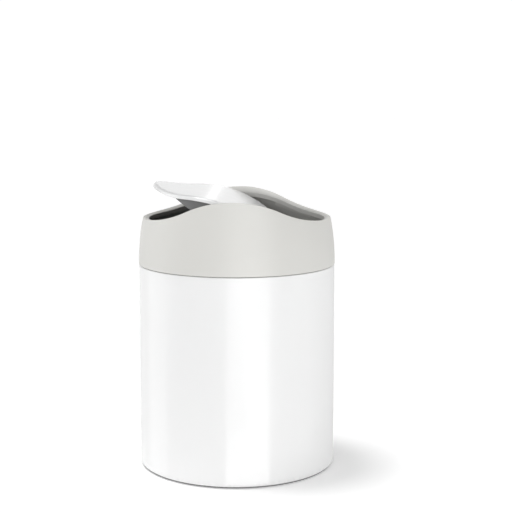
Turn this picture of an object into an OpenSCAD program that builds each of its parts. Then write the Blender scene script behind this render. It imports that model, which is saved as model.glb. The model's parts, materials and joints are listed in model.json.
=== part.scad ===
// Countertop trash can with a swing lid.
// Origin: centre of the foot on the worktop. +Z up, flap axis along Y.
// The flap is drawn as the can stands: pressed down on the right by flap_tilt.

/* [Body] */
// Outer diameter of the painted steel body
body_d = 114; // [100:1:130]
// Height of the body's top edge above the worktop
body_top = 117.8; // [95:0.1:150]
// Thickness of the steel sheet
sheet_t = 0.6; // [0.4:0.05:0.8]
// Outer radius of the curl rolled inward round the top edge
curl_r = 1.2; // [1:0.1:1.6]
// Radius of the bend round the foot of the body
foot_bend_r = 1; // [0.9:0.1:1.4]
// Width of the hem turned in under the floor
hem_w = 4.9; // [3.5:0.1:6]
// Height of the body's lower edge above the worktop
body_lift = 0.9; // [0.7:0.1:2]
// Width of the lapped seam down the back of the tube
lap_w = 6; // [4:0.5:10]
// Width and depth of the shallow line that the seam leaves outside
seam_line = 0.25; // [0.15:0.05:0.3]

/* [Floor and foot] */
// Height of the floor inside the can above the worktop
floor_z = 6; // [5:0.1:12]
// Height that the middle of the floor is pressed up
floor_press = 1.2; // [0.8:0.1:2.5]
// Width of the flat band round the pressed middle
floor_band = 12; // [8:0.5:20]
// Gap between the base cap's outer edge and the body's outer face
cap_inset = 0.7; // [0.4:0.1:1.5]
// Thickness of the base cap's plate
cap_t = 1.6; // [1.4:0.1:2]
// Wall of the base cap's upstand and ribs
cap_wall = 1.6; // [1.2:0.1:2.4]
// Gap between the base cap's upstand and the hem
cap_play = 0.2; // [0.1:0.05:0.4]
// Outer diameter of the ring in the middle of the base cap
hub_d = 28; // [16:1:40]
// Number of ribs inside the base cap
cap_ribs = 12; // [6:1:16]
// Height of the snap bead that holds the base cap in the hem
snap_h = 1.2; // [0.8:0.1:1.6]
// Reach of that snap bead past the hem's edge
snap_reach = 0.5; // [0.3:0.1:0.8]
// Distance from the base cap's upstand in to the rubber foot ring
foot_edge = 2.4; // [1:0.1:10]
// Width of the foot ring
foot_w = 5; // [3:0.5:6]
// Depth that the foot ring sits in its groove
foot_seat = 0.8; // [0.6:0.1:1]
// Height that the foot ring stands below the base cap
foot_proud = 0.3; // [0.2:0.05:0.5]

/* [Collar] */
// Reach of the collar's lower edge past the body's side
collar_proud = 0.2; // [0:0.1:1.5]
// Gap between the collar's lower edge and the body
collar_gap = 0.3; // [0.2:0.05:0.6]
// Radius of the barrel curve of the collar's side
barrel_r = 140; // [110:1:200]
// Height of the rim's crests above the collar's lower edge
rim_h = 40.9; // [34:0.1:46]
// Height from the rim's crests to its low points
rim_drop = 13.3; // [9:0.1:16]
// Share of the rim's half width that the crest's arc takes
rim_share = 0.458; // [0.4:0.002:0.6]
// Width of the lip round the opening
lip_w = 3.7; // [3:0.1:5]
// Depth of the mouth's crests below the rim's crests
mouth_sink = 3.8; // [3:0.1:5]
// Height from the mouth's crests to its low points
mouth_drop = 10.2; // [7:0.1:12.5]
// Share of the mouth's half width that the crest's arc takes
mouth_share = 0.57; // [0.45:0.005:0.65]
// Height of the lip's upright inner face
lip_face = 2.8; // [2:0.1:4]
// Rounding of the rim's outer edge
rim_round = 1.1; // [0.5:0.1:1.4]
// Rounding of the lip's inner edges
lip_round = 0.4; // [0.2:0.1:0.8]
// Wall of the collar below the lip
collar_wall = 2; // [1.8:0.1:2.5]

/* [Plug ring] */
// Height of the plug ring inside the collar
plug_upper = 14; // [8:0.5:15]
// Depth that the plug ring reaches down into the body
plug_lower = 14; // [8:0.5:25]
// Wall of the plug ring in the body
plug_wall = 1.7; // [1.4:0.1:2.5]
// Gap between the plug ring and the body's curl
plug_gap = 0.4; // [0.3:0.05:0.8]
// Width of the shoulder that the plug ring is pressed up against
shoulder_w = 1.2; // [0.8:0.1:1.8]
// Thickness of that shoulder
shoulder_t = 1.6; // [1.2:0.1:3]
// Gap between the plug ring and the collar that it is pressed into
press_gap = 0.05; // [0.02:0.01:0.1]
// Wall of the collar round the plug ring
socket_wall = 2.2; // [2:0.1:2.6]
// Height of the bevel that leads the plug ring into the body
plug_lead = 1; // [0.5:0.1:2]

/* [Flap] */
// Tilt of the flap, right side down
flap_tilt = 24.3; // [0:0.1:40]
// Gap between the closed flap and the lip
flap_gap = 1.4; // [1.1:0.1:2]
// Depth of the flap's edge
flap_edge = 2.5; // [2.2:0.1:3.5]
// Thickness of the flap's skin
flap_skin = 1.5; // [1.2:0.1:1.7]
// Width of the flap's edge wall
flap_wall = 2; // [1.5:0.1:2.5]
// Thickness of the frame's plate under the skin
plate_t = 1.2; // [1:0.1:1.6]
// Wall of the frame's skirt
skirt_t = 1.6; // [1.2:0.1:2]
// Inset of the skirt from the plate's edge
skirt_inset = 0.2; // [0:0.1:1]
// Depth of the skirt's lowest point below the flap axis
skirt_drop = 8.8; // [7.5:0.1:10]
// Radius of the curve along the skirt's lower edge
skirt_r = 200; // [150:5:400]
// Thickness of the cross ribs under the plate
rib_t = 1.4; // [1:0.1:2]
// Spacing of the cross ribs
rib_pitch = 13; // [11:0.5:15]
// Height of the ribs' lower edge above the skirt's
rib_lift = 3; // [2:0.1:4]

/* [Pivot] */
// Depth of the flap axis below the mouth's crests
pivot_sink = 5.2; // [5:0.1:5.6]
// Diameter of the pivot pins
pin_d = 3; // [2.4:0.1:3]
// Radial play of the pins in the collar
pin_play = 0.08; // [0.03:0.01:0.1]
// Radial gap of the pins in the frame
pin_press = 0.02; // [0.01:0.01:0.04]
// Length of the pins
pin_l = 8.2; // [7.4:0.1:8.6]
// Reach of the pins into the collar
pin_reach = 3.3; // [2.6:0.1:3.6]
// Chamfer on the pins' ends
pin_chamfer = 0.4; // [0.2:0.1:0.6]
// Play at the end of the pins
end_play = 0.4; // [0.2:0.1:0.6]
// Wall round the pin in the collar's bearing block
block_wall = 1.75; // [1.2:0.05:1.8]
// Reach of the bearing block's face past the lip
block_proud = 0.6; // [0.3:0.1:0.8]
// Wall round the pin in the frame's boss
boss_wall = 1.05; // [0.9:0.05:1.1]
// Gap between the frame's boss and the bearing block
side_gap = 0.6; // [0.3:0.1:0.8]
// Distance from the flap axis to the stop peg
peg_drop = 6.6; // [6.2:0.1:7]
// Diameter of the stop peg
peg_d = 3; // [2:0.1:3]
// Half angle of the stop window in the skirt
stop_angle = 80; // [60:1:84]
// Gap between the stop peg and the window's outer arc
stop_gap = 1.4; // [0.8:0.1:2]

/* [Hidden] */
white = [0.96, 0.96, 0.95];
warm_grey = [0.85, 0.85, 0.83];
mid_grey = [0.62, 0.62, 0.6];
dark_grey = [0.22, 0.22, 0.22];
steel = [0.72, 0.73, 0.74];
// Overlap of fused shapes, and reach of cutters past a face
fuse = 0.5;
past = 1;
$fn = 120;
fine = 240;
// Gap between pieces of one body that are fitted tight
fit_gap = 0.05;
// Height that a wave's crest arc laps over its tail arcs, so that the arcs cross cleanly
arc_lap = 0.005;
// Steps of the collar's moulding: round it, up its side, up its inner wall and round an edge
collar_steps = 96;
side_steps = 10;
wall_steps = 4;
edge_steps = 3;

body_r = body_d / 2;
body_in = body_r - sheet_t;
hem_top = body_lift + sheet_t;
hem_in = body_r - hem_w;
foot_out = hem_in - cap_play - foot_edge;
foot_in = foot_out - foot_w;
curl_in = body_r - 2 * curl_r;
floor_under = floor_z - sheet_t;

seam_z = body_top + collar_gap;
collar_r = body_r + collar_proud;
rim_z = seam_z + rim_h;
mouth_z = rim_z - mouth_sink;
socket_z = seam_z + plug_upper;
socket_r = collar_r - socket_wall;
shoulder_r = socket_r - shoulder_w;
shoulder_top = socket_z + shoulder_t;
mouth_half = barrel_radius(mouth_z - mouth_drop, lip_w);
plug_r = curl_in - plug_gap;
plug_in = plug_r - plug_wall;
plug_low = seam_z - plug_lower;
pivot_z = mouth_z - pivot_sink;
block_face = barrel_radius(mouth_z, lip_w) - block_proud;
block_r = pin_d / 2 + pin_play + block_wall;
boss_r = pin_d / 2 + pin_press + boss_wall;
peg_z = pivot_z - peg_drop;
pocket_inset = lip_w + flap_gap + flap_wall;
skirt_out = barrel_radius(mouth_z, pocket_inset) - skirt_inset;
skirt_in = skirt_out - skirt_t;
skirt_low = pivot_z - skirt_drop;

// Radius of the collar's side at height z, less an inset
function barrel_radius(z, inset = 0) =
    collar_r - barrel_r + sqrt(pow(barrel_r - inset, 2) - pow(z - seam_z, 2));

// A wave of two tangent arcs: crest height, drop, half width, share of the crest's arc
rim_wave = [rim_z, rim_drop, collar_r, rim_share];
mouth_wave = [mouth_z, mouth_drop, mouth_half, mouth_share];
function lowered(wave, depth) = [wave[0] - depth, wave[1], wave[2], wave[3]];
function wave_angle(wave) = 2 * atan(wave[1] / wave[2]);
function wave_span(wave) = wave[2] / sin(wave_angle(wave));
function crest_r(wave) = wave[3] * wave_span(wave);
function tail_r(wave) = (1 - wave[3]) * wave_span(wave);
function crest_x(wave) = crest_r(wave) * sin(wave_angle(wave));
function crest_arc(wave, x) =
    wave[0] - crest_r(wave) + sqrt(pow(crest_r(wave), 2) - x * x);
function tail_arc(wave, x) =
    wave[0] - wave[1] + tail_r(wave) - sqrt(pow(tail_r(wave), 2) - pow(wave[2] - x, 2));
function wave_z(wave, x) =
    abs(x) < crest_x(wave) ? crest_arc(wave, abs(x)) : tail_arc(wave, abs(x));

// Radius at which a wave meets the barrel curve in the direction t
function meet_r(wave, inset, t, r, turns = 6) =
    turns == 0 ? r
    : meet_r(wave, inset, t, barrel_radius(wave_z(wave, r * cos(t)), inset), turns - 1);

// Everything below a wave that runs along Y
module below_wave(wave, low) {
    rotate([90, 0, 0])
        linear_extrude(height = 2 * body_d, center = true)
            wave_section(wave, low);
}

module wave_section(wave, low) {
    side = crest_x(wave);
    intersection() {
        translate([0, wave[0] - crest_r(wave)])
            circle(r = crest_r(wave) + arc_lap, $fn = fine);
        translate([-side - past, low])
            square([2 * (side + past), wave[0] - low + past]);
    }
    for (sign = [-1, 1])
        difference() {
            translate([sign < 0 ? -collar_r - past : side, low])
                square([collar_r + past - side, crest_arc(wave, side) - low + past]);
            translate([sign * wave[2], wave[0] - wave[1] + tail_r(wave)])
                circle(r = tail_r(wave), $fn = fine);
        }
}

// Ring between two radii
module ring(outer, inner, low, high) {
    rotate_extrude($fn = fine)
        translate([inner, low])
            square([outer - inner, high - low]);
}

module can_body() {
    color(white)
        difference() {
            union() {
                rotate_extrude($fn = fine)
                    body_section();
                intersection() {
                    ring(body_in + fuse / 2, body_in - sheet_t, floor_z + past,
                        body_top - 2 * curl_r - past);
                    translate([-lap_w / 2, 0, 0])
                        cube([lap_w, body_d, body_top]);
                }
            }
            translate([lap_w / 2 - seam_line, body_r - seam_line, body_lift + foot_bend_r])
                cube([seam_line, past, body_top - body_lift - foot_bend_r - curl_r]);
        }
}

// Half section of the tube: curl on top, wall, bend and hem at the foot
module body_section() {
    translate([body_in, body_lift + foot_bend_r])
        square([sheet_t, body_top - curl_r - body_lift - foot_bend_r]);
    difference() {
        translate([body_r - curl_r, body_top - curl_r])
            circle(r = curl_r, $fn = 48);
        translate([body_r - curl_r, body_top - curl_r])
            circle(r = curl_r - sheet_t, $fn = 48);
        translate([body_r - curl_r, body_top - 2 * curl_r - past])
            square([curl_r - sheet_t, curl_r + past]);
    }
    difference() {
        translate([body_r - foot_bend_r, body_lift + foot_bend_r])
            circle(r = foot_bend_r, $fn = 48);
        translate([body_r - foot_bend_r, body_lift + foot_bend_r])
            circle(r = foot_bend_r - sheet_t, $fn = 48);
        translate([body_r - 2 * foot_bend_r - past, body_lift])
            square([foot_bend_r + past, 2 * foot_bend_r + past]);
        translate([body_r - foot_bend_r - past, body_lift + foot_bend_r])
            square([foot_bend_r + 2 * past, foot_bend_r + past]);
    }
    translate([hem_in, body_lift])
        square([hem_w - foot_bend_r, sheet_t]);
}

module can_floor() {
    press_r = body_in - floor_band;
    bend_top = body_lift + foot_bend_r;
    color(steel)
        rotate_extrude($fn = fine) {
            translate([body_in - sheet_t, bend_top])
                square([sheet_t, floor_z - bend_top]);
            translate([press_r, floor_under])
                square([floor_band, sheet_t]);
            polygon([[press_r, floor_under], [press_r + sheet_t, floor_under],
                [press_r + sheet_t - floor_press, floor_z + floor_press],
                [press_r - floor_press, floor_z + floor_press],
                [press_r - floor_press, floor_under + floor_press]]);
            translate([0, floor_under + floor_press])
                square([press_r - floor_press, sheet_t]);
        }
}

module base_cap() {
    wall_r = hem_in - cap_play;
    hub_r = hub_d / 2;
    rib_top = floor_under - fit_gap;
    bead_z = hem_top + 2 * fit_gap;
    color(dark_grey)
        difference() {
            union() {
                rotate_extrude($fn = fine) {
                    translate([0, foot_proud])
                        square([body_r - cap_inset, body_lift - foot_proud]);
                    translate([0, foot_proud])
                        square([wall_r, cap_t]);
                    translate([wall_r - cap_wall, foot_proud])
                        square([cap_wall, rib_top - foot_proud]);
                    polygon([[wall_r - fuse, bead_z], [hem_in + snap_reach, bead_z],
                        [wall_r - fuse, bead_z + snap_h + fuse]]);
                    translate([hub_r - cap_wall, foot_proud])
                        square([cap_wall, rib_top - foot_proud]);
                }
                for (k = [0 : cap_ribs - 1])
                    rotate([0, 0, 360 * k / cap_ribs])
                        translate([hub_r - fuse, -cap_wall / 2, foot_proud])
                            cube([wall_r - hub_r + fuse - cap_wall / 2, cap_wall,
                                rib_top - foot_proud]);
            }
            ring(foot_out, foot_in, -past, foot_proud + foot_seat);
        }
}

module foot_ring() {
    round_r = foot_proud;
    color(dark_grey)
        rotate_extrude($fn = fine) {
            translate([foot_in, foot_proud])
                square([foot_w, foot_seat]);
            translate([foot_in + round_r, 0])
                square([foot_w - 2 * round_r, foot_proud + foot_seat]);
            for (r = [foot_in + round_r, foot_out - round_r])
                translate([r, foot_proud])
                    circle(r = round_r, $fn = 32);
        }
}

// Collar's moulding: one closed section, carried round the mouth in steps
module collar_shell() {
    sections = [for (k = [0 : collar_steps - 1]) collar_section(360 * k / collar_steps)];
    n = len(sections[0]);
    points = [for (k = [0 : collar_steps - 1]) for (p = sections[k])
        [p[0] * cos(360 * k / collar_steps), p[0] * sin(360 * k / collar_steps), p[1]]];
    faces = [for (k = [0 : collar_steps - 1]) for (j = [0 : n - 1])
        let (here = k * n, next = ((k + 1) % collar_steps) * n, up = (j + 1) % n)
        for (half = [0, 1])
            half == 0 ? [here + j, here + up, next + up] : [here + j, next + up, next + j]];
    polyhedron(points = points, faces = faces, convexity = 6);
}

// Section of the collar in the direction t, as pairs of radius and height: up the
// barrel curve to the rim wave, down the sloping lip to the mouth wave, then back
// under the lip and down the wall to the shoulder over the plug ring
function collar_section(t) =
    let (
        out_r = meet_r(rim_wave, 0, t, collar_r),
        out_z = wave_z(rim_wave, out_r * cos(t)),
        in_r = meet_r(mouth_wave, lip_w, t, mouth_half),
        in_z = wave_z(mouth_wave, in_r * cos(t)),
        face_z = in_z - lip_face,
        side_z = out_z - rim_round - seam_z,
        wall_z = face_z - shoulder_top,
        rim = [out_r, out_z],
        lip = [in_r, in_z],
        under = [barrel_radius(face_z, lip_w), face_z]
    ) concat(
        [[shoulder_r, seam_z]],
        [for (k = [0 : side_steps - 1]) let (z = seam_z + side_z * k / side_steps)
            [barrel_radius(z), z]],
        rounded([barrel_radius(out_z - rim_round), out_z - rim_round], rim, lip, rim_round),
        rounded(rim, lip, under, lip_round),
        [under],
        [for (k = [wall_steps : -1 : 0]) let (z = shoulder_top + wall_z * k / wall_steps)
            [barrel_radius(z, collar_wall), z]],
        [[shoulder_r, shoulder_top]]
    );

// Curve that rounds a corner off, starting and ending at the given length from it
function rounded(before, corner, after, ease) =
    let (a = corner + ease * toward(corner, before), b = corner + ease * toward(corner, after))
        [for (k = [0 : edge_steps]) let (t = k / edge_steps)
            (1 - t) * (1 - t) * a + 2 * t * (1 - t) * corner + t * t * b];
function toward(from, to) = (to - from) / norm(to - from);

module front_and_rear() {
    for (side = [0, 1])
        mirror([0, side, 0])
            children();
}

// Cylinder along -Y at height z, between two distances from the middle
module cross_pin(radius, z, near, far) {
    translate([0, -near, z])
        rotate([90, 0, 0])
            cylinder(r = radius, h = far - near, $fn = 64);
}

// Block inside the collar that holds a pivot pin, with the stop peg below it
module bearing_block() {
    depth = collar_r - block_face;
    low = peg_z - 2 * block_r;
    high = pivot_z + 2 * block_r;
    intersection() {
        translate([0, 0, low])
            cylinder(r1 = barrel_radius(low, collar_wall / 2),
                r2 = barrel_radius(high, collar_wall / 2), h = high - low, $fn = fine);
        union() {
            cross_pin(block_r, pivot_z, block_face, collar_r);
            cross_pin(block_r, peg_z, block_face, collar_r);
            translate([-block_r, -collar_r, peg_z])
                cube([2 * block_r, depth, peg_drop]);
        }
    }
    cross_pin(peg_d / 2, peg_z, skirt_in - fuse, block_face + fuse);
}

module collar() {
    color(warm_grey)
        difference() {
            union() {
                collar_shell();
                front_and_rear()
                    bearing_block();
            }
            ring(socket_r, 0, seam_z - past, socket_z);
            front_and_rear()
                cross_pin(pin_d / 2 + pin_play, pivot_z, block_face - past,
                    block_face + pin_reach + end_play);
        }
}

module plug_ring() {
    color(mid_grey) {
        ring(socket_r - press_gap, plug_in, seam_z, socket_z - press_gap);
        rotate_extrude($fn = fine)
            polygon([[plug_in, plug_low], [plug_r - plug_lead / 2, plug_low],
                [plug_r, plug_low + plug_lead], [plug_r, seam_z + fuse],
                [plug_in, seam_z + fuse]]);
    }
}

// Turns what is drawn level into the flap's tilted place
module tilted() {
    translate([0, 0, pivot_z])
        rotate([0, flap_tilt, 0])
            translate([0, 0, -pivot_z])
                children();
}

// Between two depths below the mouth wave, inside a cone that keeps the inset
// from the collar's barrel curve
module wave_slab(inset, upper, lower) {
    low = skirt_low - past;
    high = mouth_z + past;
    difference() {
        intersection() {
            translate([0, 0, low])
                cylinder(r1 = barrel_radius(low, inset), r2 = barrel_radius(high, inset),
                    h = high - low, $fn = fine);
            below_wave(lowered(mouth_wave, upper), low);
        }
        below_wave(lowered(mouth_wave, lower), low - past);
    }
}

module flap_cover() {
    color(white)
        tilted()
            difference() {
                wave_slab(lip_w + flap_gap, 0, flap_edge);
                wave_slab(pocket_inset, flap_skin, flap_edge + past);
            }
}

// Room between the frame's plate and a curve along the lower edge
module skirt_room(lift) {
    intersection() {
        below_wave(lowered(mouth_wave, flap_skin + plate_t / 2), skirt_low - past);
        translate([0, 0, skirt_low + lift + skirt_r])
            rotate([90, 0, 0])
                cylinder(r = skirt_r, h = 2 * body_d, center = true, $fn = fine);
    }
}

// Fan-shaped window that the stop peg stands in
module stop_window() {
    window_r = peg_drop + peg_d / 2 + stop_gap;
    reach = 2 * window_r;
    intersection() {
        cross_pin(window_r, pivot_z, skirt_in - past, skirt_out + past);
        translate([0, -skirt_in + past, pivot_z])
            rotate([90, 0, 0])
                linear_extrude(height = skirt_t + 2 * past)
                    polygon([[0, 0], [-reach * sin(stop_angle), -reach * cos(stop_angle)],
                        [-reach, -reach], [reach, -reach],
                        [reach * sin(stop_angle), -reach * cos(stop_angle)]]);
    }
}

module flap_frame() {
    color(mid_grey)
        tilted()
            difference() {
                union() {
                    wave_slab(pocket_inset + 2 * fit_gap, flap_skin + fit_gap, flap_skin + plate_t);
                    difference() {
                        intersection() {
                            ring(skirt_out, skirt_in, skirt_low - past, mouth_z);
                            skirt_room(0);
                        }
                        front_and_rear()
                            stop_window();
                    }
                    intersection() {
                        ring(skirt_in + fuse, 0, skirt_low, mouth_z);
                        skirt_room(rib_lift);
                        union() {
                            for (k = [-2, -1, 1, 2])
                                translate([k * rib_pitch - rib_t / 2, -skirt_out, skirt_low])
                                    cube([rib_t, 2 * skirt_out, mouth_z - skirt_low]);
                            translate([-skirt_out, -rib_t / 2, skirt_low])
                                cube([2 * skirt_out, rib_t, mouth_z - skirt_low]);
                        }
                    }
                    front_and_rear()
                        cross_pin(boss_r, pivot_z, skirt_in - fuse, block_face - side_gap);
                }
                front_and_rear()
                    cross_pin(pin_d / 2 + pin_press, pivot_z, skirt_in - past, block_face);
            }
}

// Pin along -Y with chamfered ends
module pivot_pin() {
    far = block_face + pin_reach;
    color(steel)
        translate([0, -far + pin_l, pivot_z])
            rotate([90, 0, 0])
                rotate_extrude($fn = 64)
                    polygon([[0, 0], [pin_d / 2 - pin_chamfer, 0], [pin_d / 2, pin_chamfer],
                        [pin_d / 2, pin_l - pin_chamfer], [pin_d / 2 - pin_chamfer, pin_l],
                        [0, pin_l]]);
}

module front_pivot_pin() {
    pivot_pin();
}

module rear_pivot_pin() {
    mirror([0, 1, 0])
        pivot_pin();
}

can_body();
can_floor();
base_cap();
foot_ring();
collar();
plug_ring();
flap_cover();
flap_frame();
front_pivot_pin();
rear_pivot_pin();
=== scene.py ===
import json
import math

import bmesh
import bpy
from mathutils import Matrix, Vector


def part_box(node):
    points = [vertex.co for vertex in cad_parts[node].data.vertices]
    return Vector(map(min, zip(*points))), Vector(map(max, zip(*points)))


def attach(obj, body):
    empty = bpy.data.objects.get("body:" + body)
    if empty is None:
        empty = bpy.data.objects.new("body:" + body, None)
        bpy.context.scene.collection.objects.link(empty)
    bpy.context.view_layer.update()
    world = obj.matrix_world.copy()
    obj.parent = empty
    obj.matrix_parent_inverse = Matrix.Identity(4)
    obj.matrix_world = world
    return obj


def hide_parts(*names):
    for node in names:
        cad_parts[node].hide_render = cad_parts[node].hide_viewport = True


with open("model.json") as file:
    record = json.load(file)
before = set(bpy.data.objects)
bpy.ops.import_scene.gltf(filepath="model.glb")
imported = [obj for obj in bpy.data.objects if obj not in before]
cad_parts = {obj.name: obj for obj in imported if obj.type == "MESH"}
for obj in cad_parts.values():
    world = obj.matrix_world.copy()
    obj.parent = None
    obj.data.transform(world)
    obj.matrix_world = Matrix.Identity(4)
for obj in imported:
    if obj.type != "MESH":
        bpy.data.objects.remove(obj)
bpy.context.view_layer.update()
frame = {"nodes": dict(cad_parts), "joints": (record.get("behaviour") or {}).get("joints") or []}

MM = 0.001
FULL_TURN = 2 * math.pi

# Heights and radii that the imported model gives
BODY_LOW, BODY_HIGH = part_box("can_body")
COLLAR_LOW, COLLAR_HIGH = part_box("collar")
CAP_LOW, CAP_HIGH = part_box("base_cap")
FOOT_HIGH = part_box("foot_ring")[1]
RING_LOW, RING_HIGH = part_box("plug_ring")
PIN_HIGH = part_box("front_pivot_pin")[1]
BODY_R = BODY_HIGH.x
COLLAR_R = COLLAR_HIGH.x
SEAM_Z = COLLAR_LOW.z
RIM_Z = COLLAR_HIGH.z
AXIS_Z = next(j["pos_m"][2] for j in frame["joints"] if j["name"] == "flap_swing")

# Roundings of small edges, from the sharpest to the softest
KEEN = 0.1 * MM
CRISP = 0.15 * MM
FINE = 0.2 * MM
SOFT = 0.3 * MM

# Steel body
SHEET = 0.6 * MM
CURL_R = 1.2 * MM
CURL_EDGE_R = 0.62 * MM
FOOT_BEND_R = 1 * MM
HEM_W = 4.9 * MM
LAP_W = 6 * MM
LAP_END = 1 * MM
SEAM_LINE = 0.25 * MM
SEAM_DEPTH = 0.2 * MM
SCUFF_H = 3 * MM
FLOOR_Z = 6 * MM
FLOOR_BEND_R = 1 * MM
FLOOR_PRESS = 1.2 * MM
FLOOR_BAND = 12 * MM

# Base cap and foot ring
CAP_T = 1.6 * MM
CAP_WALL = 1.6 * MM
CAP_PLAY = 0.2 * MM
CAP_ROUND = 0.25 * MM
CAP_RIBS = 12
HUB_R = 14 * MM
SNAP_H = 1.2 * MM
SNAP_REACH = 0.5 * MM
SNAP_PLAY = 0.1 * MM
FOOT_W = 5 * MM
GATE_R = 1.5 * MM
GATE_DEPTH = 0.3 * MM

# Collar
BARREL_R = 140 * MM
RIM_DROP = 13.3 * MM
RIM_SHARE = 0.458
RIM_ROUND = 1.1 * MM
SIDE_START = 1 * MM
SIDE_END = 1.5 * MM
LIP_W = 3.7 * MM
LIP_ROUND = 0.5 * MM
MOUTH_SINK = 3.8 * MM
MOUTH_DROP = 10.2 * MM
MOUTH_SHARE = 0.57
LIP_FACE = 2.8 * MM
COLLAR_WALL = 2 * MM
SHOULDER_W = 1.2 * MM
SHOULDER_T = 1.6 * MM
SOCKET_WALL = 2.2 * MM
PLUG_WALL = 1.7 * MM
PLUG_GAP = 0.4 * MM

# Tones of the grey lacquer inside the can, kept dark as painted shade for the dim inside of the
# can
LACQUER_AND_SHADE = ((0.44, 0.44, 0.43), (0.51, 0.51, 0.5))

# Painted shade on the collar's inner faces: the mark that darkens them, and how much of it the
# lip's inner edge takes
INNER_SHADE = "inner_painted_shade"
LIP_SHADE_SHARE = 0.5

# Pivots and stops in the collar
BLOCK_PROUD = 0.6 * MM
BLOCK_WALL = 1.75 * MM
PIN_PLAY = 0.08 * MM
PEG_DROP = 6.6 * MM
PEG_R = 1.5 * MM
PEG_REACH = 5.3 * MM

# Flap
FLAP_TILT = math.radians(24.3)
FLAP_GAP = 1.4 * MM
FLAP_EDGE = 2.5 * MM
FLAP_BORDER = 3.5 * MM
FLAP_ROUND = 2.0 * MM
FLAP_UNDER_ROUND = 0.5 * MM
FLAP_SKIN = 1.5 * MM
FLAP_WALL = 2 * MM

# Brightness of the studio's walls, what its ceiling, left, right and rear lack, how soon
# the walls turn into the ceiling, the backdrop that the camera sees, and the light that
# comes through the table
SKY_WALLS = 1.88
SKY_CEILING = 1.46
SKY_TURN = 1.6
SKY_LEFT = 0.5
SKY_RIGHT = 0.2
SKY_REAR = 0.6
BACKDROP = 1.05
TABLE_GLOW = 0.29

# Main light: bearing from the camera's side, height, width and strength
KEY_BEARING = -108
KEY_HEIGHT = 76
KEY_WIDTH = 18
KEY_POWER = 1.55

# Cards that show in the gloss: slope, length and gap to the can and the table
CARD_SLOPE = 54
CARD_LENGTH = 0.85
CARD_GAP = 2 * MM

# Camera: bearing, distance and height of the eye, its aim, its shift, and its lens in pixels
# of the frame
FRAME_PX = 512
SENSOR = 36
CAMERA_TURN = math.radians(2.77)
CAMERA_AWAY = 717.0 * MM
CAMERA_HEIGHT = 226.1 * MM
CAMERA_PAN = math.radians(0.892)
CAMERA_TILT = math.radians(6.404)
CAMERA_SHIFT = -0.08
FOCAL_PX = 1236.6


def barrel_radius(z, inset=0.0):
    """Radius of the collar's side at height z, less an inset."""
    across = math.sqrt((BARREL_R - inset) ** 2 - (z - SEAM_Z) ** 2)
    return COLLAR_R - BARREL_R + across


class Wave:
    """The line of a rim seen from the front: a crest arc that runs into two hollow arcs."""

    def __init__(self, crest, drop, half, share):
        angle = 2 * math.atan(drop / half)
        span = half / math.sin(angle)
        self.crest = crest
        self.drop = drop
        self.half = half
        self.crest_r = share * span
        self.tail_r = span - self.crest_r
        self.turn = self.crest_r * math.sin(angle)

    def z(self, x, lower=0.0):
        x = min(abs(x), self.half)
        if x < self.turn:
            height = self.crest - self.crest_r + math.sqrt(self.crest_r**2 - x**2)
        else:
            sag = math.sqrt(self.tail_r**2 - (self.half - x) ** 2)
            height = self.crest - self.drop + self.tail_r - sag
        return height - lower

    def meets(self, inset, angle, lower=0.0):
        """Radius and height at which the wave meets the barrel curve in one direction."""
        r = self.half
        for _ in range(8):
            r = barrel_radius(self.z(r * math.cos(angle), lower), inset)
        return r, self.z(r * math.cos(angle), lower)


MOUTH_Z = RIM_Z - MOUTH_SINK
RIM = Wave(RIM_Z, RIM_DROP, COLLAR_R, RIM_SHARE)
MOUTH = Wave(MOUTH_Z, MOUTH_DROP, barrel_radius(MOUTH_Z - MOUTH_DROP, LIP_W), MOUTH_SHARE)


# Outlines

def arc(centre, radius, start, end, steps):
    """Points of an arc in a section, with its angles in degrees."""
    points = []
    for k in range(steps + 1):
        a = math.radians(start + (end - start) * k / steps)
        points.append((centre[0] + radius * math.cos(a), centre[1] + radius * math.sin(a)))
    return points


def eased(corners, steps=4):
    """A closed outline of (radius, height, rounding) corners, with its corners rounded off."""
    points = []
    for k, (r, z, ease) in enumerate(corners):
        if ease == 0:
            points.append((r, z))
            continue
        here = Vector((r, z))
        before = Vector(corners[k - 1][:2]) - here
        after = Vector(corners[(k + 1) % len(corners)][:2]) - here
        start = here + before.normalized() * min(ease, before.length * 0.49)
        end = here + after.normalized() * min(ease, after.length * 0.49)
        for i in range(steps + 1):
            t = i / steps
            p = start.lerp(here, t).lerp(here.lerp(end, t), t)
            points.append((p.x, p.y))
    return points


# Modelling

def wire(bm, points, closed):
    """A line of edges in the XZ plane."""
    verts = [bm.verts.new((r, 0, z)) for r, z in points]
    for a, b in zip(verts, verts[1:]):
        bm.edges.new((a, b))
    if closed:
        bm.edges.new((verts[-1], verts[0]))


def spin(bm, steps):
    """Carries everything in bm once round the Z axis."""
    bmesh.ops.spin(
        bm, geom=bm.verts[:] + bm.edges[:], cent=(0, 0, 0), axis=(0, 0, 1), dvec=(0, 0, 0),
        angle=FULL_TURN, steps=steps, use_merge=True, use_duplicate=False)
    bmesh.ops.remove_doubles(bm, verts=bm.verts[:], dist=1e-7)


def turned(points, steps, closed=True):
    """A piece of revolution about the Z axis from its section."""
    bm = bmesh.new()
    wire(bm, points, closed)
    spin(bm, steps)
    bmesh.ops.recalc_face_normals(bm, faces=bm.faces[:])
    return bm


def moulded(outline_at, steps):
    """A ring-shaped moulding whose section changes with the direction: a ladder of points
    is carried round, and each point then takes its place in its own direction's section."""
    bm = bmesh.new()
    count = len(outline_at(0.0))
    wire(bm, [(1, k) for k in range(count)], closed=True)
    spin(bm, steps)
    sections = {}
    for v in bm.verts:
        angle = math.atan2(v.co.y, v.co.x)
        key = round(angle, 4)
        if key not in sections:
            sections[key] = outline_at(angle)
        r, z = sections[key][round(v.co.z)]
        v.co = (r * math.cos(angle), r * math.sin(angle), z)
    bmesh.ops.remove_doubles(bm, verts=bm.verts[:], dist=1e-7)
    bmesh.ops.recalc_face_normals(bm, faces=bm.faces[:])
    return bm


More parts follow.
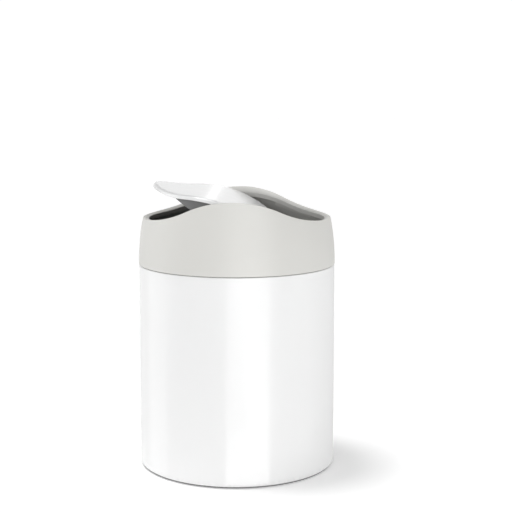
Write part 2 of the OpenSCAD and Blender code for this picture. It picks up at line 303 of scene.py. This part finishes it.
def tilt_flap(bm):
    """Turns what is modelled level into the flap's place in the photograph."""
    pivot = Vector((0, 0, AXIS_Z))
    bmesh.ops.rotate(
        bm, verts=bm.verts[:], cent=pivot, matrix=Matrix.Rotation(FLAP_TILT, 3, "Y"))


def soften(bm, edges, segments):
    """Rounds sharp edges off."""
    bmesh.ops.bevel(bm, geom=edges, offset=SOFT, segments=segments, profile=0.5,
                    affect="EDGES", material=-1)


def piece(name, bm, body, node, slot, sheet=0.0):
    """Finishes bm as the piece that stands for a node, and lets it ride on its body."""
    mesh = bpy.data.meshes.new(name)
    bm.to_mesh(mesh)
    bm.free()
    mesh.shade_smooth()
    mesh.materials.append(FINISHES[slot])
    obj = bpy.data.objects.new(name, mesh)
    bpy.context.scene.collection.objects.link(obj)
    if sheet:
        wall = obj.modifiers.new("sheet", "SOLIDIFY")
        wall.thickness = sheet
        wall.offset = 0
        wall.use_even_offset = True
    even = obj.modifiers.new("even_shading", "WEIGHTED_NORMAL")
    even.keep_sharp = True
    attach(obj, body)
    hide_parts(node)


# Finishes

class Signal:
    """A shader socket that takes part in plain sums."""

    def __init__(self, nodes, socket):
        self.nodes = nodes
        self.socket = socket

    def math(self, operation, *values):
        inputs = dict(enumerate(values))
        return self.nodes.node("ShaderNodeMath", {"operation": operation}, inputs)

    def __add__(self, other):
        return self.math("ADD", self, other)

    def __sub__(self, other):
        return self.math("SUBTRACT", self, other)

    def __rsub__(self, other):
        return self.math("SUBTRACT", other, self)

    def __mul__(self, other):
        return self.math("MULTIPLY", self, other)

    def clamped(self):
        return self.math("MAXIMUM", self.math("MINIMUM", self, 1.0), 0.0)

    __radd__ = __add__
    __rmul__ = __mul__


class Nodes:
    """A node tree that takes new nodes in one call each."""

    def __init__(self, tree):
        self.tree = tree

    def node(self, kind, settings=None, inputs=None, output=0):
        made = self.tree.nodes.new(kind)
        for setting, value in (settings or {}).items():
            setattr(made, setting, value)
        for socket, value in (inputs or {}).items():
            if isinstance(value, Signal):
                self.tree.links.new(value.socket, made.inputs[socket])
            else:
                made.inputs[socket].default_value = value
        return Signal(self, made.outputs[output])


class Finish(Nodes):
    """One finish: a principled shader whose sockets take constants and signals."""

    def __init__(self, name, **constants):
        self.material = bpy.data.materials.new(name)
        self.material.use_nodes = True
        super().__init__(self.material.node_tree)
        self.shader = self.tree.nodes["Principled BSDF"]
        for socket, value in constants.items():
            self.shader.inputs[socket.replace("_", " ")].default_value = value

    def feed(self, socket, signal):
        self.tree.links.new(signal.socket, self.shader.inputs[socket])

    def place(self):
        return self.node("ShaderNodeTexCoord", output="Object")

    def height(self):
        return self.node("ShaderNodeSeparateXYZ", inputs={0: self.place()}, output="Z")

    def stretched(self, scale):
        return self.node("ShaderNodeMapping", inputs={"Vector": self.place(), "Scale": scale})

    def noise(self, scale, detail=2.0, rough=0.5, where=None):
        inputs = {"Vector": where or self.place(), "Scale": scale, "Detail": detail,
                  "Roughness": rough}
        return self.node("ShaderNodeTexNoise", inputs=inputs)

    def inside(self, radius, blend):
        """1 nearer the can's axis than the radius, 0 from there out."""
        away = self.node("ShaderNodeVectorMath", {"operation": "LENGTH"},
                         {0: self.stretched((1, 1, 0))}, "Value")
        return ((radius - away) * (1 / blend)).clamped()

    def mixed(self, factor, first, second):
        settings = {"data_type": "RGBA"}
        tones = [(*c, 1.0) if isinstance(c, tuple) else c for c in (first, second)]
        inputs = {0: factor, 6: tones[0], 7: tones[1]}
        return self.node("ShaderNodeMix", settings, inputs, output=2)

    def bump(self, height, depth, strength=1.0):
        inputs = {"Strength": strength, "Distance": depth, "Height": height}
        self.feed("Normal", self.node("ShaderNodeBump", inputs=inputs))


def white_paint():
    """Semi-gloss white paint with a faint orange peel, scuffed along its lower bend; inside it,
    grey lacquer kept dark as painted shade.
    """
    f = Finish("white_paint", Coat_Weight=0.35, Coat_Roughness=0.08, IOR=1.5)
    drift = f.noise(14, 2)
    grain = f.noise(900, 2)
    low = ((BODY_LOW.z + SCUFF_H - f.height()) * (1 / SCUFF_H)).clamped()
    scuff = low * (f.noise(380, 4) * 2.6 - 1.0).clamped()
    clean = f.mixed(drift, (0.905, 0.908, 0.91), (0.925, 0.925, 0.922))
    outside = f.mixed(scuff * 0.5, clean, (0.62, 0.62, 0.61))
    # Inside the tube: grey lacquer, kept dark as painted shade for the dim inside of the can
    lining_and_shade = f.mixed(f.noise(60, 4), *LACQUER_AND_SHADE)
    f.feed("Base Color", f.mixed(f.inside(BODY_R - SHEET / 2, SHEET / 6), outside, lining_and_shade))
    f.feed("Roughness", 0.27 + 0.06 * drift + 0.2 * scuff)
    f.bump(grain, 0.01 * MM, 0.06)
    return f.material


def floor_paint():
    """Thin satin lacquer inside the can, its grey kept dark as painted shade for the dim inside.
    """
    f = Finish("floor_paint", IOR=1.48)
    f.feed("Base Color", f.mixed(f.noise(60, 4), *LACQUER_AND_SHADE))
    f.feed("Roughness", 0.34 + 0.12 * f.noise(240, 3))
    f.bump(f.noise(700, 2), 0.02 * MM, 0.4)
    return f.material


def collar_plastic():
    """Light warm grey plastic with a fine satin mould texture."""
    f = Finish("collar_plastic", IOR=1.46)
    drift = f.noise(18, 3)
    grain = f.noise(2600, 3)
    painted_shade = f.node("ShaderNodeAttribute", {"attribute_name": INNER_SHADE}, output="Fac")
    shown = f.mixed(drift, (0.695, 0.69, 0.66), (0.725, 0.72, 0.69))
    # The marked faces under the lip take a darker grey: painted shade for the dim inside of the
    # collar, and half of it on the lip's inner edge
    f.feed("Base Color", f.mixed(painted_shade, shown, (0.36, 0.355, 0.34)))
    f.feed("Roughness", 0.4 + 0.05 * drift + 0.05 * grain)
    f.bump(grain, 0.03 * MM, 0.35)
    return f.material


def ring_plastic():
    """Plain grey plastic of the plug ring, with faint flow marks."""
    f = Finish("ring_plastic", IOR=1.46)
    flow = f.noise(40, 3, where=f.stretched((1, 1, 6)))
    f.feed("Base Color", f.mixed(flow, (0.26, 0.26, 0.25), (0.31, 0.31, 0.3)))
    f.feed("Roughness", 0.45 + 0.1 * flow)
    f.bump(f.noise(1800, 2), 0.03 * MM, 0.3)
    return f.material


def flap_plastic():
    """Glossy white plastic of the flap, with hairline rubs from hands."""
    f = Finish("flap_plastic", IOR=1.5, Coat_Weight=0.15, Coat_Roughness=0.1)
    drift = f.noise(22, 2)
    rubs = f.noise(60, 4, 0.6, f.stretched((1, 9, 1)))
    f.feed("Base Color", f.mixed(drift, (0.875, 0.878, 0.88), (0.895, 0.895, 0.895)))
    f.feed("Roughness", 0.15 + 0.07 * rubs)
    f.bump(f.noise(500, 2), 0.01 * MM, 0.3)
    return f.material


def frame_plastic():
    """Matt plastic of the carrier under the flap, in a dark grey that is painted shade for the
    dim space under the flap.
    """
    f = Finish("frame_plastic", IOR=1.46)
    grain = f.noise(1900, 3)
    # Dark grey: painted shade under the flap
    f.feed("Base Color", f.mixed(f.noise(30, 3), (0.2, 0.2, 0.2), (0.25, 0.25, 0.25)))
    f.feed("Roughness", 0.46 + 0.08 * grain)
    f.bump(grain, 0.03 * MM, 0.35)
    return f.material


def base_plastic():
    """Dark grey plastic of the base cap with a fine sparked texture."""
    f = Finish("base_plastic", IOR=1.46)
    grain = f.noise(1500, 4, 0.6)
    f.feed("Base Color", f.mixed(grain, (0.16, 0.16, 0.165), (0.22, 0.22, 0.22)))
    f.feed("Roughness", 0.5 + 0.14 * grain)
    f.bump(grain, 0.05 * MM, 0.5)
    return f.material


def foot_rubber():
    """Black rubber, dusty where it stands."""
    f = Finish("foot_rubber", IOR=1.5)
    dust = (f.noise(420, 4) * 1.6 - 0.5).clamped()
    f.feed("Base Color", f.mixed(dust, (0.022, 0.022, 0.022), (0.07, 0.068, 0.065)))
    f.feed("Roughness", 0.72 + 0.15 * dust)
    f.bump(f.noise(1300, 3), 0.04 * MM, 0.5)
    return f.material


def pin_steel():
    """Ground steel of the pivot pins, with marks that run round them."""
    f = Finish("pin_steel", Metallic=1.0)
    marks = f.noise(500, 3, 0.6, f.stretched((1, 24, 1)))
    f.feed("Base Color", f.mixed(marks, (0.52, 0.52, 0.53), (0.64, 0.64, 0.65)))
    f.feed("Roughness", 0.24 + 0.16 * marks)
    f.bump(marks, 0.01 * MM, 0.4)
    return f.material


def backdrop_white():
    """Plain pale sheet under and behind the can, lit from below too."""
    f = Finish("backdrop_white", Roughness=0.9, Specular_IOR_Level=0.0,
               Emission_Strength=TABLE_GLOW)
    f.shader.inputs["Emission Color"].default_value = (1, 1, 1, 1)
    f.feed("Base Color", f.mixed(f.noise(6, 2), (0.9, 0.9, 0.9), (0.91, 0.91, 0.91)))
    return f.material


FINISHES = {make.__name__: make() for make in (
    white_paint, floor_paint, collar_plastic, ring_plastic, flap_plastic, frame_plastic,
    base_plastic, foot_rubber, pin_steel)}


# Pieces

def can_body():
    """The tube, from the hem under its foot, up its wall and round the curl."""
    mid = SHEET / 2
    bend = (BODY_R - FOOT_BEND_R, BODY_LOW.z + FOOT_BEND_R)
    edge = (BODY_R - CURL_EDGE_R, BODY_HIGH.z - CURL_EDGE_R)
    curl = (BODY_R - CURL_R, BODY_HIGH.z - CURL_R)
    path = [(BODY_R - HEM_W, BODY_LOW.z + mid)]
    path += arc(bend, FOOT_BEND_R - mid, -90, 0, 6)
    levels = 24
    rise = edge[1] - bend[1]
    path += [(BODY_R - mid, bend[1] + rise * k / levels) for k in range(1, levels)]
    path += arc(edge, CURL_EDGE_R - mid, 0, 90, 4)
    path += arc(curl, CURL_R - mid, 90, 270, 12)
    bm = turned(path, steps=192, closed=False)
    seam_groove(bm)
    lap_strip(bm)
    piece("can_body_shell", bm, "can", "can_body", "white_paint", sheet=SHEET)


def seam_groove(bm):
    """The fine line that the lapped seam leaves down the back of the tube."""
    middle = (LAP_W - SEAM_LINE) / 2
    for x in (middle - SEAM_LINE / 2, middle, middle + SEAM_LINE / 2):
        back = [f for f in bm.faces if f.calc_center_median().y > BODY_R / 2]
        near = {e for f in back for e in f.edges} | {v for f in back for v in f.verts}
        bmesh.ops.bisect_plane(bm, geom=back + list(near), dist=1e-8, plane_co=(x, 0, 0),
                               plane_no=(1, 0, 0))
    low = BODY_LOW.z + 2 * FOOT_BEND_R
    high = BODY_HIGH.z - 2 * CURL_R
    for v in bm.verts:
        if abs(v.co.x - middle) < 1e-7 and v.co.y > BODY_R - SHEET and low < v.co.z < high:
            v.co.y -= SEAM_DEPTH


def lap_strip(bm):
    """The second thickness of sheet behind the seam, inside the tube."""
    strip = bmesh.new()
    r = BODY_R - SHEET * 1.5
    low, high = FLOOR_Z + LAP_END, BODY_HIGH.z - 2 * CURL_R - LAP_END
    turn = LAP_W / r
    wire(strip, [(r, low), (r, high)], closed=False)
    bmesh.ops.rotate(strip, verts=strip.verts[:], cent=(0, 0, 0),
                     matrix=Matrix.Rotation(math.radians(90) - turn / 2, 3, "Z"))
    bmesh.ops.spin(strip, geom=strip.verts[:] + strip.edges[:], cent=(0, 0, 0), axis=(0, 0, 1),
                   dvec=(0, 0, 0), angle=turn, steps=6, use_merge=False, use_duplicate=False)
    bmesh.ops.recalc_face_normals(strip, faces=strip.faces[:])
    mesh = bpy.data.meshes.new("lap_strip")
    strip.to_mesh(mesh)
    strip.free()
    bm.from_mesh(mesh)
    bpy.data.meshes.remove(mesh)


def can_floor():
    """Floor disc with its pressed middle and the flange that lines the foot of the tube."""
    mid = SHEET / 2
    side = BODY_R - SHEET * 1.5
    press_r = BODY_R - SHEET - FLOOR_BAND
    top = FLOOR_Z - mid
    path = [(side, BODY_LOW.z + SHEET)]
    path += arc((side - FLOOR_BEND_R, top - FLOOR_BEND_R), FLOOR_BEND_R, 0, 90, 5)
    path += arc((press_r, top + FLOOR_PRESS / 2), FLOOR_PRESS / 2, 270, 225, 3)
    path += arc((press_r - 2 * FLOOR_PRESS, top), FLOOR_PRESS, 60, 90, 3)
    path += [(press_r * k / 5, top + FLOOR_PRESS) for k in (4, 3, 2, 1, 0)]
    bm = turned(path, steps=128, closed=False)
    piece("can_floor_disc", bm, "can", "can_floor", "floor_paint", sheet=SHEET)


def collar():
    """The grey moulding: barrel side, wavy rim, sloping lip, upright lip face and wall."""
    def section(angle):
        out_r, out_z = RIM.meets(0, angle)
        in_r, in_z = MOUTH.meets(LIP_W, angle)
        face_z = in_z - LIP_FACE
        shoulder_z = RING_HIGH.z + SHOULDER_T
        shoulder_r = COLLAR_R - SOCKET_WALL - SHOULDER_W
        socket_r = COLLAR_R - SOCKET_WALL
        side = 12
        low = SEAM_Z + SIDE_START
        high = out_z - SIDE_END
        corners = [(socket_r, SEAM_Z, FINE), (barrel_radius(SEAM_Z), SEAM_Z, CRISP)]
        for k in range(side + 1):
            z = low + (high - low) * k / side
            corners.append((barrel_radius(z), z, 0))
        corners.append((out_r, out_z, RIM_ROUND))
        corners.append((in_r, in_z, LIP_ROUND))
        corners.append((barrel_radius(face_z, LIP_W), face_z, SOFT))
        wall = 5
        for k in range(wall + 1):
            z = face_z + (shoulder_z - face_z) * k / wall
            ease = SOFT if k in (0, wall) else 0
            corners.append((barrel_radius(z, COLLAR_WALL), z, ease))
        corners.append((shoulder_r, shoulder_z, SOFT))
        corners.append((shoulder_r, RING_HIGH.z, FINE))
        corners.append((socket_r, RING_HIGH.z, FINE))
        return eased(corners)

    bm = moulded(section, steps=240)
    for side in (-1, 1):
        bearing_block(bm, side)
    paint_inner_shade(bm)
    piece("collar_moulding", bm, "lid", "collar", "collar_plastic")


def paint_inner_shade(bm):
    """Marks the faces under the lip for painted shade, darker than the outside, and in part the
    lip's inner edge."""
    mark = bm.verts.layers.float.new(INNER_SHADE)
    for v in bm.verts:
        r = v.co.xy.length
        if v.co.z < MOUTH.z(v.co.x, LIP_FACE) and r < barrel_radius(v.co.z, COLLAR_WALL / 2):
            v[mark] = 1.0
        elif r < barrel_radius(v.co.z, LIP_W / 2):
            v[mark] = LIP_SHADE_SHARE


def bearing_block(bm, side):
    """The rounded block inside the collar that a pivot pin turns in, and its stop peg."""
    bore_r = PIN_HIGH.x + PIN_PLAY
    block_r = bore_r + BLOCK_WALL
    near = barrel_radius(MOUTH_Z, LIP_W) - BLOCK_PROUD
    far = barrel_radius(AXIS_Z, COLLAR_WALL / 2)
    peg_z = AXIS_Z - PEG_DROP
    steps = 23
    outline = arc((0, AXIS_Z), block_r, 0, 180, steps)
    outline += arc((0, peg_z), block_r, 180, 360, steps)
    edges = []
    for points in (outline, arc((0, AXIS_Z), bore_r, 0, 360, len(outline))[:-1]):
        verts = [bm.verts.new((x, side * near, z)) for x, z in points]
        edges += [bm.edges.new((verts[k - 1], verts[k])) for k in range(len(verts))]
    front = bmesh.ops.bridge_loops(bm, edges=edges)["faces"]
    if front[0].normal.y * side > 0:
        bmesh.ops.reverse_faces(bm, faces=front)
    rim = [e for e in edges if e.verts[0].co.z > 0]
    bmesh.ops.solidify(bm, geom=front, thickness=far - near)
    soften(bm, rim, 2)
    peg = bmesh.ops.create_cone(bm, cap_ends=True, segments=36, radius1=PEG_R, radius2=PEG_R,
                                depth=PEG_REACH)["verts"]
    tip = [e for e in {e for v in peg for e in v.link_edges}
           if all(v.co.z > 0 for v in e.verts)]
    bmesh.ops.rotate(bm, verts=peg, cent=(0, 0, 0),
                     matrix=Matrix.Rotation(math.radians(90 * side), 3, "X"))
    bmesh.ops.translate(bm, verts=peg, vec=(0, side * (near + SOFT - PEG_REACH / 2), peg_z))
    soften(bm, tip, 3)


def flap_cover():
    """White skin of the flap: bent to the mouth's wave, with a soft border and a hollow
    under it for the carrier."""
    inset = LIP_W + FLAP_GAP

    def section(angle):
        cos = math.cos(angle)
        edge_r, edge_z = MOUTH.meets(inset, angle)
        under_r, under_z = MOUTH.meets(inset, angle, FLAP_EDGE)
        pocket_r = MOUTH.meets(inset + FLAP_WALL, angle, FLAP_EDGE)[0]
        rings = 14
        top = []
        for k in range(rings):
            r = (edge_r - FLAP_BORDER) * k / (rings - 1)
            top.append((r, MOUTH.z(r * cos), 0))
        skin = []
        for k in range(rings):
            r = pocket_r * (1 - k / (rings - 1))
            skin.append((r, MOUTH.z(r * cos, FLAP_SKIN), 0))
        skin[0] = (*skin[0][:2], SOFT)
        border = [(edge_r, edge_z, FLAP_ROUND), (under_r, under_z, FLAP_UNDER_ROUND),
                  (pocket_r, MOUTH.z(pocket_r * cos, FLAP_EDGE), SOFT)]
        return eased(top + border + skin, 5)

    bm = moulded(section, steps=192)
    tilt_flap(bm)
    piece("flap_skin", bm, "flap", "flap_cover", "flap_plastic")


def base_cap():
    """Moulded cap under the floor: plate, upstand with its snap bead, middle ring and ribs."""
    low, edge_z = CAP_LOW.z, BODY_LOW.z
    hem_in = BODY_R - HEM_W
    wall_out = hem_in - CAP_PLAY
    wall_in = wall_out - CAP_WALL
    foot_out, foot_in = FOOT_HIGH.x, FOOT_HIGH.x - FOOT_W
    groove_z = FOOT_HIGH.z
    plate_z = low + CAP_T
    top = CAP_HIGH.z
    bead_z = edge_z + SHEET + SNAP_PLAY
    hub_out = HUB_R
    hub_in = HUB_R - CAP_WALL
    bm = turned(eased([
        (0, low + GATE_DEPTH, 0), (GATE_R, low + GATE_DEPTH, KEEN),
        (GATE_R + GATE_DEPTH, low, KEEN), (foot_in, low, CRISP), (foot_in, groove_z, 0),
        (foot_out, groove_z, 0), (foot_out, low, CRISP), (CAP_HIGH.x, low, CAP_ROUND),
        (CAP_HIGH.x, edge_z, CRISP), (wall_out, edge_z, 0), (wall_out, bead_z, 0),
        (hem_in + SNAP_REACH, bead_z, KEEN), (wall_out, bead_z + SNAP_H, FINE),
        (wall_out, top, SOFT), (wall_in, top, SOFT), (wall_in, plate_z, SOFT),
        (hub_out, plate_z, SOFT), (hub_out, top, SOFT), (hub_in, top, SOFT),
        (hub_in, plate_z, SOFT), (0, plate_z, 0)], 3), steps=144)
    for k in range(CAP_RIBS):
        rib = bmesh.ops.create_cube(bm, size=1)["verts"]
        bmesh.ops.scale(bm, verts=rib, vec=(wall_in - hub_in, CAP_WALL, top - plate_z))
        bmesh.ops.translate(bm, verts=rib, vec=((wall_in + hub_in + CAP_WALL) / 2, 0,
                                                (top + plate_z) / 2 - SOFT))
        bmesh.ops.rotate(bm, verts=rib, cent=(0, 0, 0),
                         matrix=Matrix.Rotation(FULL_TURN * k / CAP_RIBS, 3, "Z"))
    piece("base_cap_moulding", bm, "can", "base_cap", "base_plastic")


def foot_ring():
    """Rubber ring that the can stands on, with a rounded tread."""
    outer, inner = FOOT_HIGH.x, FOOT_HIGH.x - FOOT_W
    tread = CAP_LOW.z
    bm = turned(eased([
        (inner, FOOT_HIGH.z, 0), (inner, 0, tread), (outer, 0, tread), (outer, FOOT_HIGH.z, 0)
    ], 6), steps=160)
    piece("foot_ring_rubber", bm, "can", "foot_ring", "foot_rubber")


def plug_ring():
    """Ring pressed into the collar; its lower half reaches down into the tube."""
    upper, lower = RING_HIGH.x, BODY_R - 2 * CURL_R - PLUG_GAP
    inner = lower - PLUG_WALL
    lead = 1 * MM
    bm = turned(eased([
        (inner, RING_LOW.z, SOFT), (lower - lead / 2, RING_LOW.z, SOFT),
        (lower, RING_LOW.z + lead, SOFT), (lower, SEAM_Z, 0), (upper, SEAM_Z, SOFT),
        (upper, RING_HIGH.z, SOFT), (inner, RING_HIGH.z, SOFT)], 4), steps=176)
    piece("plug_ring_moulding", bm, "lid", "plug_ring", "ring_plastic")


def pivot_pin(node):
    """A ground steel pin with chamfered ends, along the flap's axis."""
    low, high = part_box(node)
    length = high.y - low.y
    r = high.x
    ease = 0.4 * MM
    bm = turned([(0, 0), (r - ease, 0), (r, ease), (r, length - ease), (r - ease, length),
                 (0, length)], steps=48)
    bmesh.ops.rotate(bm, verts=bm.verts[:], cent=(0, 0, 0),
                     matrix=Matrix.Rotation(math.radians(-90), 3, "X"))
    bmesh.ops.translate(bm, verts=bm.verts[:], vec=(0, low.y, AXIS_Z))
    piece(node + "_ground", bm, "flap", node, "pin_steel")


def carried_over(node, finish):
    """A CAD node that keeps its mesh and takes a detailed finish."""
    materials = frame["nodes"][node].data.materials
    materials.clear()
    materials.append(FINISHES[finish])


can_body()
can_floor()
collar()
flap_cover()
base_cap()
foot_ring()
plug_ring()
pivot_pin("front_pivot_pin")
pivot_pin("rear_pivot_pin")
carried_over("flap_frame", "frame_plastic")


# Stage, light and camera

def stage_piece(name, bm, finish):
    """A thing round the can that isn't part of it."""
    mesh = bpy.data.meshes.new(name)
    bm.to_mesh(mesh)
    bm.free()
    mesh.materials.append(finish)
    obj = bpy.data.objects.new(name, mesh)
    bpy.context.scene.collection.objects.link(obj)
    return obj


def floor():
    """A wide pale sheet to stand on."""
    bm = bmesh.new()
    bmesh.ops.create_grid(bm, x_segments=2, y_segments=2, size=6)
    stage_piece("floor", bm, backdrop_white())


def toward(bearing, height=0.0):
    """Direction at a bearing from the camera's side and a height, both in degrees."""
    turn, rise = math.radians(bearing), math.radians(height)
    level = Vector((math.sin(turn), -math.cos(turn), 0)) * math.cos(rise)
    return level + Vector((0, 0, math.sin(rise)))


def key_light():
    """Broad light from high above, a little to the left."""
    sun = bpy.data.lights.new("key", "SUN")
    sun.angle = math.radians(KEY_WIDTH)
    sun.energy = KEY_POWER
    obj = bpy.data.objects.new("key", sun)
    obj.location = toward(KEY_BEARING, KEY_HEIGHT)
    obj.rotation_euler = (-obj.location).to_track_quat("-Z", "Y").to_euler()
    bpy.context.scene.collection.objects.link(obj)


def reflector(name, bearings, brightness, fan=2, away=BODY_R + CARD_GAP):
    """A card that leans back from the table, with its foot between two bearings, times the
    fan where it spreads from there. It shows in the gloss alone."""
    bm = bmesh.new()
    corners = []
    for bearing in bearings:
        foot = toward(bearing) * away + Vector((0, 0, CARD_GAP))
        corners.append((foot, foot + toward(fan * bearing, CARD_SLOPE) * CARD_LENGTH))
    verts = [bm.verts.new(v) for v in (*corners[0], *reversed(corners[1]))]
    for k in range(4):
        bm.edges.new((verts[k - 1], verts[k]))
    bmesh.ops.contextual_create(bm, geom=bm.edges[:])
    glow = Finish(name, Roughness=1.0, Emission_Strength=brightness)
    glow.shader.inputs["Emission Color"].default_value = (1, 1, 1, 1)
    glow.shader.inputs["Base Color"].default_value = (0, 0, 0, 1)
    card = stage_piece(name, bm, glow.material)
    card.visible_camera = False
    card.visible_diffuse = False
    card.visible_shadow = False


def surroundings():
    """A white studio whose sides are a little dimmer, before a white backdrop."""
    world = bpy.data.worlds.new("studio")
    world.use_nodes = True
    sky = Nodes(world.node_tree)
    background = world.node_tree.nodes["Background"]
    background.inputs["Color"].default_value = (1, 1, 1, 1)
    way = sky.node("ShaderNodeTexCoord", output="Generated")
    x, y, z = (sky.node("ShaderNodeSeparateXYZ", inputs={0: way}, output=n) for n in "XYZ")
    sides = (x * -1).clamped() * SKY_LEFT + x.clamped() * SKY_RIGHT + y.clamped() * SKY_REAR
    room = SKY_WALLS - (z * SKY_TURN).clamped() * SKY_CEILING - sides
    seen = sky.node("ShaderNodeLightPath", output="Is Camera Ray")
    strength = room + seen * (BACKDROP - room)
    world.node_tree.links.new(strength.socket, background.inputs["Strength"])
    bpy.context.scene.world = world


def camera():
    """A camera where the photograph's stood, turned to what its frame shows."""
    eye = Vector((math.sin(CAMERA_TURN), -math.cos(CAMERA_TURN), 0)) * CAMERA_AWAY
    eye.z = CAMERA_HEIGHT
    bearing = CAMERA_PAN - CAMERA_TURN
    level = math.cos(CAMERA_TILT)
    look = Vector((math.sin(bearing) * level, math.cos(bearing) * level, -math.sin(CAMERA_TILT)))
    data = bpy.data.cameras.new("camera")
    data.sensor_width = SENSOR
    data.lens = FOCAL_PX * SENSOR / FRAME_PX
    data.shift_y = CAMERA_SHIFT
    obj = bpy.data.objects.new("camera", data)
    obj.location = eye
    obj.rotation_euler = look.to_track_quat("-Z", "Y").to_euler()
    bpy.context.scene.collection.objects.link(obj)
    bpy.context.scene.camera = obj


bpy.context.scene.view_settings.view_transform = "Standard"
floor()
surroundings()
key_light()
reflector("front_card", (-4, 21), 2.6)
reflector("left_card", (-61, -43), 1.6)
reflector("right_flag", (52, 89), 0.7)
reflector("rear_card", (181.6, 182.65), 2.0, fan=1, away=0.6)
camera()
